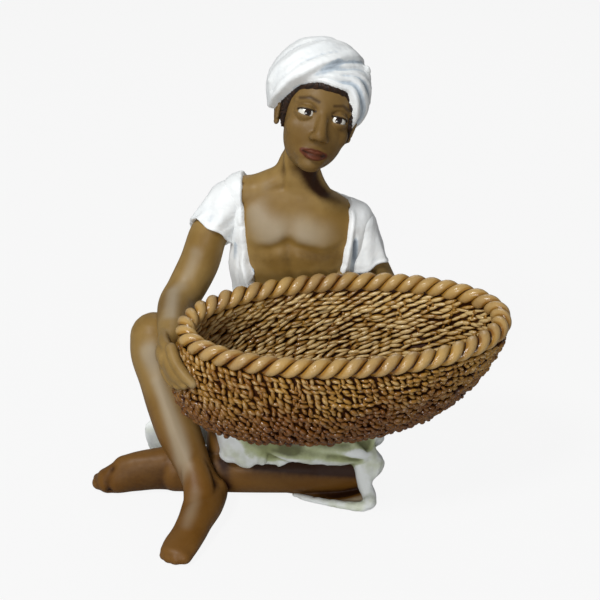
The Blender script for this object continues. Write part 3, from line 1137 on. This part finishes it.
legs = {
    "right": {
        "width": (1, 0, 0),
        # thigh, shin, calf and instep, foot
        "paths": [
            [(-16, 0, 19.5, 15, 15.5), (-33, -9, 38, 14.4, 14.8), (-52, -20, 60, 13, 13.4),
             (-63, -27.5, 72, 12, 12.2), (-68, -31, 75.8, 11, 11.2)],
            [(-68.2, -31, 75.8, 11.4, 11.4), (-68.6, -33.5, 67.5, 10.8, 11.2),
             (-65.9, -37, 56.7, 9.9, 11.6), (-62.2, -42, 45.5, 10, 12), (-57.4, -48, 34.9, 10.3, 11.2),
             (-53.6, -52, 27.5, 9.4, 10), (-49.8, -56, 19.6, 8.3, 8.8), (-46, -60, 12.2, 8.2, 8.4),
             (-44.5, -61, 8.6, 8, 8.2)],
            [(-55, -50, 33, 3, 3), (-51, -57, 26, 5.4, 4.4), (-48, -64, 19, 6.8, 5.2),
             (-46.6, -71.5, 13, 7.2, 4.7), (-47.8, -80, 9, 6.2, 4)],
            [(-43, -55.5, 7, 9, 6.6), (-43.8, -62, 8, 9.6, 8), (-45.2, -72, 8.2, 9.4, 7.6),
             (-47.8, -82, 7, 8.2, 6.6), (-50.2, -90, 5.6, 8, 5.4), (-53, -97.5, 4.8, 8.2, 4.6),
             (-55.2, -102.6, 4, 7.4, 4)],
        ],
        "toes": [
            [(-48.8, -97, 3.8, 3.8, 3.6), (-51.4, -104.6, 3.2, 3.6, 3.2)],
            [(-52.6, -98, 3.6, 3.4, 3.2), (-54.8, -105.2, 3, 3.2, 2.9)],
            [(-55.4, -97, 3.4, 3.2, 3), (-57.8, -104, 2.8, 3, 2.7)],
            [(-57.2, -95, 3, 2.8, 2.6), (-60.2, -101.8, 2.4, 2.4, 2.3)],
        ],
        "beds": [],
        # kneecap, shin bone, both ankles, instep
        "strokes": [
            ([(-70, -43, 73)], 5.5, 0.7),
            ([(-66, -47, 60), (-58, -57, 40), (-50.5, -63, 22)], 2.6, 0.8),
            ([(-37.5, -60, 13)], 3.6, 1.4),
            ([(-51.5, -58, 14)], 3.2, 1),
            ([(-46.5, -78, 14.5), (-50, -92, 9.5)], 3.5, 0.6),
        ],
        "stains": [
            ([(-40, -52, 12), (-45, -46, 22), (-52, -40, 34)], 6, 0.7),
            ([(-69.5, -44, 74), (-66, -50, 62.7), (-61.5, -54, 54.4), (-59, -57, 45.6),
              (-56, -60, 36.7), (-54, -61, 27), (-51, -62, 18)], 5.4, -0.85),
            ([(-39, -58, 5), (-40, -64, 3)], 6, 0.8),
            ([(-74, -38, 60), (-72, -42, 50), (-66, -46, 38)], 5, 0.3),
            ([(-44, -61, 40), (-44, -64, 24), (-40, -64, 14)], 5, 0.35),
            ([(-38, -46, 42), (-41, -50, 32)], 4, 0.9),
            ([(-48, -74, 16), (-51, -90, 10)], 4, -0.4),
            ([(-50, -105, 5), (-58, -104, 4)], 5, 0.45),
        ],
    },
    "left": {
        "width": (0, 1, 0),
        # thigh, shin, foot, and the calf's fold under the right knee
        "paths": [
            [(16, 0, 19.5, 15.5, 15.5), (19, -18, 17, 13.5, 13.5), (22, -34, 13.5, 10.6, 11.6),
             (25, -42, 11.5, 10.6, 11.2)],
            [(26, -43, 11, 11.2, 11), (14, -44.4, 11.2, 11, 11.4), (-6, -44.6, 11.2, 11, 11.4),
             (-28, -44.8, 10.8, 10, 11), (-46, -45, 10.6, 9.2, 10.4), (-60, -45, 11.2, 9.2, 10.8)],
            [(-50, -44.5, 9.5, 7, 8.5), (-60, -44.5, 11.6, 7.6, 11.2), (-70, -44.8, 11.4, 7.4, 10.6),
             (-80, -46, 10.2, 7, 9.8), (-87, -47, 8, 6.6, 8), (-92, -47, 6.4, 6, 6.4)],
            [(-37, -33, 36, 5, 5.5), (-38.5, -38, 26, 6.2, 6.4), (-38.5, -42, 17, 6.4, 6),
             (-35, -45, 10.5, 6.6, 6.4)],
        ],
        "toes": [
            [(-89.5, -47.5, 8.6, 3.8, 3.8), (-96.4, -47, 5.2, 3.6, 3.6)],
            [(-91, -43.5, 7, 3, 3.2), (-97.4, -43, 5, 2.6, 2.8)],
            [(-90.5, -40.5, 6.5, 2.4, 2.6), (-96.4, -40, 4, 2.2, 2.4)],
            [(-89.5, -38.5, 5.5, 2.2, 2.4), (-94.8, -37.8, 3.2, 2, 2.2)],
            [(-88, -37, 4.5, 2, 2), (-92.8, -36, 2.6, 1.9, 1.9)],
        ],
        # the casting's flat bed below the shin
        "beds": [
            [(-5, -47, 1.2, 3, 1.2), (8, -49, 1.3, 6, 1.3), (19, -51, 1.5, 8, 1.5), (27, -52, 2.4, 9, 2.4),
             (31.5, -54, 3, 7, 3)],
        ],
        # heel, toe nail, ankle, shin, calf
        "strokes": [
            ([(-89, -49, 14), (-91.5, -51.5, 8), (-91, -52, 3)], 1.5, -1.6),
            ([(-99, -49, 7.4)], 1.4, -0.4),
            ([(-86, -46, 17)], 3, 0.8),
            ([(-80, -48, 18), (-66, -50, 19)], 3.5, 0.5),
            ([(-56, -52, 12)], 4, -0.6),
            ([(26, -52, 15)], 6, 0.6),
            ([(-30, -54, 17), (5, -55, 17)], 2.6, 0.5),
        ],
        "stains": [
            ([(-96, -47, 6), (-60, -45, 12), (-30, -47, 12), (26, -47, 12)], 24, 0.3),
            ([(-96, -47, 6), (-70, -45, 6)], 16, 0.25),
            ([(14, -59, 2), (28, -59, 3)], 3, -0.9),
            ([(-40, -40, 43), (-38, -40, 34)], 6, 1.6),
            ([(0, -55.5, 3.5), (18, -56, 3.5), (33, -54, 5)], 1.8, 1.2),
            ([(-20, -54, 22), (0, -55, 20.5), (26, -54, 18.5)], 4.4, 1.9),
            ([(30, -52, 18), (36, -46, 10)], 5, 0.9),
            ([(-36, -50, 18), (-35, -53, 8)], 3, 0.9),
        ],
    },
}


legSkin = {"voxel": 0.5, "smooth": 14, "shade": (20, 1.3), "ground": 1.2, "rest": 0.6}


def makeLegs():
    k = legSkin
    for side, leg in legs.items():
        forms = [limb(path, leg["width"], 70, 48) for path in leg["paths"]]
        forms += [limb(path, (1, -0.4, 0), 16, 20) for path in leg["toes"]]
        forms += [limb(path, (0, 1, 0), 20, 20) for path in leg["beds"]]
        mesh = skinned(side + "_leg_skin", together(*forms), k["voxel"], k["smooth"])
        sculpted(mesh, leg["strokes"])
        move(mesh, setDown(pointsOf(mesh), k["ground"], k["rest"]))
        shadeHollows(mesh, k["shade"], leg["stains"])
        piece(side + "_leg_skin", mesh, skinPaint(side + "LegPaint"), "skin_paint", side + "_leg")
    report("legs")


# Shirt and sleeves


shirt = {
    "thickness": 2.5, "slopeThickness": 2.0, "firstRing": 22, "top": 139, "slopeTop": 137,  # mm
    # how much wider it hangs in mm, and the heights between which it gets there
    "waistEase": 4, "waistFrom": 94, "waistTo": 50,
    "rightEase": 3.2, "rightFrom": 112, "rightTo": 98, "rightBeyond": -20,
    # the opening: its left and right edges at four heights, and an oval seen from above
    "heights": [60, 90, 104, 122], "left": (-22, -23.6, -26.6, -27.2), "right": (15.5, 17.6, 21, 24.0),
    "middleY": -30, "halfDepth": 36, "neckDepth": 8, "neckHeights": (124, 134), "power": 9,
    "edge": (0.98, 1.015), "roll": 1.05, "rollWidth": 0.03,  # shares of the oval
    "rollFrom": 132, "rollTo": 124, "sunkAll": 80, "sunkLess": 94,  # heights in mm
    "sunk": 5.2, "waistSunk": 11, "hem": 0.5, "lowest": 50,
    "ripples": [(0.3, 14, 31), (0.1, 4, 32)],  # height, length, seed
    "voxel": 0.62, "smooth": 8, "shade": (20, 1.2),
    "strokes": [
        ([(-31, -4, 128), (-33, -2, 105), (-30, -2, 84)], 2.4, 1.2),
        ([(-28, -9, 122), (-28.5, -9, 98), (-26, -8, 80)], 1.6, -0.9),
        ([(29, -4, 120), (30, -3, 100), (27, -3, 82)], 2.2, 1.2),
        ([(26.5, -10, 118), (25, -11, 98), (20, -11, 82)], 1.4, -0.8),
        ([(-24, 14, 128), (-18, 19, 106), (-20, 19, 80)], 3.2, 1.3),
        ([(-9, 17, 132), (-6, 20, 108), (-9, 20, 76)], 3, -1.2),
        ([(4, 17, 130), (6, 21, 104), (2, 20, 72)], 3.2, 1.3),
        ([(17, 16, 124), (14, 20, 100), (17, 19, 74)], 3, -1.2),
        ([(26, 9, 116), (24, 14, 96), (26, 12, 74)], 3, 1.1),
        ([(-33, 6, 112), (-30, 10, 92), (-31, 9, 72)], 2.6, -1),
    ],
    "stains": [
        ([(25.5, -9, 114), (26.5, -10, 104), (26, -11, 96)], 1.8, 1),
        ([(-30, -6, 112), (-30, -6, 98)], 1.6, 0.5),
    ],
}


def makeShirt():
    # The trunk's own forms made thicker. Inside the opening the cloth sinks below the chest, and the
    # opening is an oval of power 9 seen from above, narrower towards the waist
    k = shirt
    rings = trunkRings(k["thickness"])
    wider = ease(-rings[:, :1, 2:], -k["waistFrom"], -k["waistTo"]) * k["waistEase"]
    toRight = ease(-rings[..., 2:], -k["rightFrom"], -k["rightTo"]) * (rings[..., :1] < k["rightBeyond"])
    wider = wider + k["rightEase"] * toRight
    rings = rings + unit((rings - rings.mean(1, keepdims=True)) * [1, 1, 0]) * wider
    shell = closedForm(rings[rings[..., 2].mean(1) < k["top"]][k["firstRing"]:])
    forms = [shell] + slopeForms(k["slopeThickness"], k["slopeTop"])
    mesh = skinned("shirt_cloth", together(*forms), k["voxel"], k["smooth"])
    sculpted(mesh, k["strokes"])
    p, n = rippled(mesh, k["ripples"]), normalsOf(mesh)
    left, right = (np.interp(p[:, 2], k["heights"], k[edge]) for edge in ("left", "right"))
    middle, half = (right + left) / 2, (right - left) / 2
    across = np.abs(p[:, 0] - middle + 0.35 * ripple(p, 9, 33)) / half
    depth = k["halfDepth"] + k["neckDepth"] * ease(p[:, 2], *k["neckHeights"])
    back = np.maximum(p[:, 1] - k["middleY"], 0) / depth
    oval = (across ** k["power"] + back ** k["power"]) ** (1 / k["power"])
    inside = 1 - ease(oval, *k["edge"])
    roll = bell(oval - k["roll"], k["rollWidth"]) * ease(-p[:, 2], -k["rollFrom"], -k["rollTo"])
    p += n * (k["hem"] * roll - k["sunk"] * inside)[:, None]
    atWaist = 1 - ease(p[:, 2], k["sunkAll"], k["sunkLess"])
    p -= unit(p * [1, 1, 0] - [-1, 2, 0]) * (k["waistSunk"] * inside * atWaist)[:, None]
    p[:, 2] = np.maximum(p[:, 2], k["lowest"])
    move(mesh, p)
    shadeHollows(mesh, k["shade"], k["stains"])
    piece("shirt_cloth", mesh, clothPaint("shirtPaint", whiteLook), "white_cloth_paint", "shirt")
    report("shirt")


sleeves = {  # a sleeve's middle line, its radius at both ends, and how its edge slants and rises, in mm
    "right": {
        "from": (-33, 3.2, 129.8), "to": (-43.5, -1.2, 115.5), "start": 11, "end": 10.7,
        "slant": 0, "rise": 4.5, "seam": -27.4, "seed": 3,
    },
    "left": {
        "from": (26.5, 4, 117.5), "to": (31.2, 2.5, 98.5), "start": 10.4, "end": 11.5,
        "slant": 1.0, "rise": 0, "seam": 23.6, "seed": 8,
    },
}
sleeveCut = {
    "dome": 10.4, "thickness": 1.5, "fold": 1.3, "hem": 0.5,  # mm
    "folds": (0.55, 0.3), "waves": (0.06, 0.035),  # strengths of the broad and the narrow ones
    "rows": 70, "innerRows": 14, "columns": 160, "shade": (16, 1.4),
}


def makeSleeve(side, s):
    # A flared tube down the upper arm, and back up inside it. Its radius is a profile of the length plus
    # folds that deepen as cosine waves of the turn, and its edge rises and falls with the turn too
    w, seed = sleeveCut, s["seed"]
    fromTo = np.array(s["to"], float) - s["from"]
    cap = w["dome"] / np.linalg.norm(fromTo)
    t = np.concatenate([np.linspace(-cap, 1, w["rows"]), np.linspace(1, 0.55, w["innerRows"])])[:, None]
    inner = (np.arange(len(t)) >= w["rows"])[:, None]
    turn = around(w["columns"])[None, :]
    dome = np.sqrt(np.clip(1 - (np.minimum(t, 0) / (cap * 1.02)) ** 2, 0.0, 1))
    radius = (s["start"] + (s["end"] - s["start"]) * ease(t, 0, 1)) * dome
    (broad, narrow), (long, short) = w["folds"], w["waves"]
    folds = np.cos(5 * turn + 2.2 * t + seed) * broad + np.cos(9 * turn - 3 * t + 2 * seed) * narrow
    radius = radius + folds * ease(t, -0.2, 1.0) * w["fold"] + w["hem"] * bell(t - 0.97, 0.05)
    radius = radius - inner * (w["thickness"] + 1.2 * ease(1 - t, 0, 0.2))
    wavy = long * np.cos(2 * turn + seed) + short * np.cos(5 * turn + seed * 3)
    wavy = 1 + ease(t, 0.5, 1) * wavy
    along = unit(fromTo)
    across = unit(np.cross(along, (0, 1, 0)))
    front = np.cross(along, across)
    slant = ease(t, 0, 1) * (s["slant"] * np.cos(turn) - s["rise"] * np.sin(turn))
    place = np.array(s["from"], float) + (t * wavy)[..., None] * fromTo + slant[..., None] * along
    rings = place + radius[..., None] * (across * np.cos(turn)[..., None] + front * np.sin(turn)[..., None])
    mesh = meshOf(side + "_sleeve_cloth", closedForm(rings))
    p = pointsOf(mesh)
    p[:, 0] = np.minimum(p[:, 0], s["seam"]) if s["seam"] < 0 else np.maximum(p[:, 0], s["seam"])
    move(mesh, p)
    move(mesh, rippled(mesh, [(0.22, 8, seed), (0.06, 2.5, seed + 1)]))
    shadeHollows(mesh, w["shade"])
    paint = clothPaint(side + "SleevePaint", whiteLook)
    piece(side + "_sleeve_cloth", mesh, paint, "white_cloth_paint", side + "_sleeve")


# Skirt


skirt = {
    # rows of the lap: height, half width and half depth; rows of the hips: the same and how far back they lie
    "lap": [(20, 32, 27), (23, 33, 28), (30, 32.5, 28.4), (39, 37, 28), (49, 35, 26), (55, 30, 22)],
    "hips": [(0.5, 34, 30, 0), (6, 34.6, 31, 0), (22, 33, 28.5, 1), (40, 30, 23, 3), (50, 27.5, 20, 4),
             (53.5, 25.5, 18, 4)],
    "lapMiddle": (2, -27.5), "lapPower": 3, "lapFolds": (0.9, 0.6), "hipFolds": (1.1, 0.7),  # mm
    "hemWaves": [(1.2, 0.21, 1), (0.5, 0.83, 0), (0.3, 2.1, 2)],  # mm, radians per mm of x, start
    "pads": [((-21, -54, 29), (6, 4.4, 5)), ((29, -41, 13), (9.5, 11, 9.5))],  # middle and radii
    "ripples": [(0.35, 12, 41), (0.18, 4.5, 42)], "ground": 1.0, "rest": 0.5,
    "voxel": 0.78, "smooth": 4, "shade": (18, 1.2),
    "behind": [(-25, 4, 12, 13, 11.5), (-46, -2, 12.5, 11, 11.5), (-62, -6.5, 10, 7, 9.6),
               (-71.5, -9.5, 9.6, 3.4, 9), (-76, -11, 9, 1.6, 8)],
    # edges of the lap, its hanging end, and the cloth over both thighs
    "paths": [
        [(-33, -36, 56, 6, 6), (-37, -44, 48, 4.5, 4.5), (-36, -49, 39, 5, 5), (-32, -53, 31, 6, 5)],
        [(-24, -50, 38, 8, 6), (-31, -53, 30, 7, 5.6), (-34, -54, 25, 4.5, 3.6)],
        [(-31, -53, 28, 5.5, 4.6), (-25, -54.5, 24, 5.2, 3.4), (-18, -54.5, 23.6, 4.5, 2.6)],
        [(-14, -53, 36, 9, 5), (0, -54.5, 31, 9, 4.4), (14, -54.5, 28.5, 9, 4.4), (26, -53.5, 26, 8, 4.8),
         (33, -50, 24, 5, 5)],
        [(31, -46, 40, 9, 9), (29.5, -48, 27.5, 6.6, 8), (34, -50, 18.8, 6.4, 5.6),
         (32, -51, 13.5, 4.4, 4.6)],
        [(30.5, -52, 18, 5.4, 4.6), (30.8, -54.5, 9, 3.6, 3.6), (32.8, -57.5, 4.8, 3.4, 3.2),
         (32.4, -62, 3.2, 3.1, 3)],
        [(33.2, -60.5, 3, 3, 2.8), (29, -63.8, 2.6, 2.6, 2.5), (20.5, -61.6, 1.9, 2.3, 1.9),
         (6, -56.2, 1.5, 2, 1.5), (-3, -51, 1, 1.4, 1)],
        [(-16, 0, 21, 18.5, 18.5), (-36, -11, 41, 18, 18), (-52, -20, 58, 16.4, 16.4),
         (-56, -22.5, 62.5, 15.8, 15.8)],
        [(16, 0, 21, 18.5, 18.5), (22, -22, 20, 18, 18), (26, -36, 19, 16, 16)],
    ],
    "strokes": [
        ([(-31, -59, 36), (-22, -60, 33.5), (-12, -60, 31), (-4, -60, 28.5)], 2.2, -1.1),
        ([(41.5, -20, 7.4), (41, -36, 17.2), (39.5, -48, 24.5)], 3.4, -5.5),
        ([(-33, -58, 28), (-27, -59, 24)], 2.2, 0.9),
        ([(-16, -58, 25), (-4, -59, 24), (8, -60, 24.5)], 1.8, 0.7),
        ([(-12, -58, 38), (4, -60, 34.5), (20, -59, 32), (34, -56, 31)], 2, -0.9),
        ([(2, -59, 33), (16, -60, 30), (29, -58, 28)], 1.6, 0.8),
        ([(8, -60, 27), (20, -59, 26), (29, -57, 24)], 1.5, -0.9),
        ([(34, -56, 33), (31, -57, 28), (33, -57, 23)], 1.6, -0.8),
        ([(28, -57, 21), (30, -57, 13), (31.5, -60, 7)], 1.5, -0.8),
        ([(37, -54, 20), (36, -55, 14)], 1.5, 0.7),
        ([(-36, 0, 34), (-50, -10, 50)], 2.2, -1.4),
        ([(-44, -24, 64), (-34, -14, 54), (-22, -6, 50)], 2.2, -1.4),
        ([(-30, 22, 40), (-24, 27, 20), (-27, 28, 4)], 3, 1.5),
        ([(-14, 27, 44), (-10, 30, 22), (-14, 31, 3)], 3, -1.6),
        ([(3, 27, 46), (6, 31, 24), (2, 32, 3)], 3, 1.5),
        ([(18, 25, 42), (20, 30, 20), (17, 31, 3)], 3, -1.6),
        ([(32, 16, 40), (34, 20, 20), (32, 22, 3)], 3, 1.4),
        ([(-54, 6, 16), (-66, 2, 12)], 2, -1),
        ([(-50, -12, 19), (-64, -16, 14)], 1.8, -1),
    ],
    "stains": [
        ([(-28, -58, 38), (-18, -60, 35), (-4, -60, 32)], 5.5, 0.8),
        ([(-16, -58, 31), (6, -59, 30), (26, -57, 30)], 9, 0.62),
        ([(-31, -59, 26), (-34, -57, 32)], 5, -1),
        ([(34, -57, 17), (31, -58, 10), (33, -61, 4), (18, -61, 2)], 5, -0.8),
        ([(-12, -58, 40), (8, -59, 37), (34, -55, 36)], 5, 0.45),
        ([(-34, -50, 42), (-37, -44, 36), (-37, -42, 28)], 4, 1.5),
        ([(14, -60, 26), (27, -58, 24)], 2, 0.5),
        ([(30.5, -58, 12), (32, -61, 6)], 1.6, 0.5),
        ([(-73, -14, 16), (-74, -15, 8)], 1.4, 0.6),
    ],
    "look": {  # an olive wash over white
        "tone": colour(236, 240, 238), "wash": colour(170, 178, 124), "shade": colour(72, 72, 26),
        "clouds": 0.5,
    },
}


def lapForm():
    # The cloth over the lap: level ovals of power 3 that swell out over the shins and shrink towards the
    # waist, with hanging folds as cosine waves of the turn and a lower edge that wanders up and down
    rows, turn = 46, around(300)[None, :]
    level = throughPoints(skirt["lap"], rows)
    size, share = ovalSize(turn, skirt["lapPower"]), np.linspace(0, 1, rows)[:, None]
    (broad, narrow), (x0, y0) = skirt["lapFolds"], skirt["lapMiddle"]
    folds = broad * np.cos(9 * turn + 4 * share) + narrow * np.cos(17 * turn - 3 * share + 1)
    x = x0 + (level[:, 1, None] + folds * (1 - share)) * size * np.cos(turn)
    y = y0 + (level[:, 2, None] + folds * (1 - share)) * size * np.sin(turn)
    hem = sum(height * np.sin(x * pace + start) for height, pace, start in skirt["hemWaves"])
    return closedForm(np.stack([x, y, level[:, 0, None] + hem * (1 - share) ** 3], -1))


def hipsForm():
    # The wrap round the hips: level ovals from the seat to the waist with upright folds as cosine waves
    rows, turn = 60, around(240)[None, :]
    level = throughPoints(skirt["hips"], rows)
    broad, narrow = skirt["hipFolds"]
    folds = (broad * np.cos(11 * turn + 1) + narrow * np.cos(19 * turn)) * np.linspace(1, 0.25, rows)[:, None]
    x = (level[:, 1, None] + folds) * np.cos(turn)
    y = level[:, 3, None] - 0.5 + (level[:, 2, None] + folds) * np.sin(turn)
    return closedForm(np.stack([x, y, level[:, 0, None] + 0 * turn], -1))


def makeSkirt():
    k = skirt
    forms = [lapForm(), hipsForm(), limb(k["behind"], (0, 1, 0), 40, 36), *(ball(*pad) for pad in k["pads"])]
    forms += [limb(path, (1, 0, 0.05), 40, 36) for path in k["paths"]]
    mesh = skinned("skirt_cloth", together(*forms), k["voxel"], k["smooth"])
    sculpted(mesh, k["strokes"])
    move(mesh, setDown(rippled(mesh, k["ripples"]), k["ground"], k["rest"]))
    shadeHollows(mesh, k["shade"], k["stains"])
    piece("skirt_cloth", mesh, clothPaint("skirtPaint", k["look"]), "skirt_paint", "skirt")
    report("skirt")


# Camera, floor and light


view = {
    "distance": 650, "aimHeight": 80, "focalLength": 79.8, "sensor": 36,  # mm
    "elevation": 25,  # degrees
    "near": 0.01, "far": 20,  # metres
}
stage = {"halfSize": 3.0, "tone": 0.42, "seenShare": 0.9, "skyLight": 0.24, "white": (1, 1, 1, 1)}  # metres
lamps = {  # places and sizes in metres, power in watts
    "keyLamp": {"place": (-0.5, -0.72, 1.1), "size": 0.3, "power": 10.5},
    "fillLamp": {"place": (-0.12, -1.2, 0.34), "size": 0.4, "power": 4.6},
    "backLamp": {"place": (0.1, 0.8, 0.7), "size": 0.6, "power": 1.6},
}
lampAim = Vector((0, -0.03, 0.09))


def makeSeen(name, data, place, aim):  # a camera or lamp that looks from its place towards an aim
    made = bpy.data.objects.new(name, data)
    made.location = place
    made.rotation_mode = "QUATERNION"
    made.rotation_quaternion = (aim - made.location).to_track_quat("-Z", "Y")
    bpy.context.scene.collection.objects.link(made)
    return made


def makeCamera():
    rise = np.radians(view["elevation"])
    data = bpy.data.cameras.new("camera")
    data.sensor_width = view["sensor"]
    data.lens = view["focalLength"]
    data.clip_start = view["near"]
    data.clip_end = view["far"]
    aim = Vector((0, 0, view["aimHeight"] * mm))
    back = Vector((0, -np.cos(rise), np.sin(rise)))
    bpy.context.scene.camera = makeSeen("camera", data, aim + back * view["distance"] * mm, aim)
    report("camera")


def makeLamps():
    for name, lamp in lamps.items():
        data = bpy.data.lights.new(name, "AREA")
        data.shape = "DISK"
        data.size = lamp["size"]
        data.energy = lamp["power"]
        makeSeen(name, data, lamp["place"], lampAim)
    report("lamps")


def makeStage():
    # A pale floor and sky. The camera sees them almost white, and they light the figure less than they look
    half, white = stage["halfSize"], stage["white"]
    mesh = bpy.data.meshes.new("floor")
    corners = [(-half, -half, 0), (half, -half, 0), (half, half, 0), (-half, half, 0)]
    mesh.from_pydata(corners, [], [(0, 1, 2, 3)])
    floor = bpy.data.objects.new("floor", mesh)
    tone = (stage["tone"],) * 3 + (1,)
    s = newSheet("floorPaper", {"Base Color": tone, "Roughness": 0.9, "Specular IOR Level": 0.2})
    s.forCamera(stage["seenShare"], s.add("Emission", None, {"Color": white, "Strength": 1.0}))
    mesh.materials.append(s.owner)
    bpy.context.scene.collection.objects.link(floor)
    sky = {"Color": white, "Strength": stage["skyLight"]}
    s = Sheet(bpy.data.worlds.new("studio"), "Background", sky)
    s.forCamera(1, s.add("Background", None, {"Color": white, "Strength": 1.0}))
    bpy.context.scene.world = s.owner
    bpy.context.scene.view_settings.view_transform = "Standard"
    report("floor and sky")


makeCamera()
makeTorso()
makeHead()
makeEyes()
makeHair()
makeTurban()
makeArms()
makeLegs()
makeShirt()
for side, sizes in sleeves.items():
    makeSleeve(side, sizes)
report("sleeves")
makeSkirt()
makeBasket()
makeRope()
makeLamps()
makeStage()
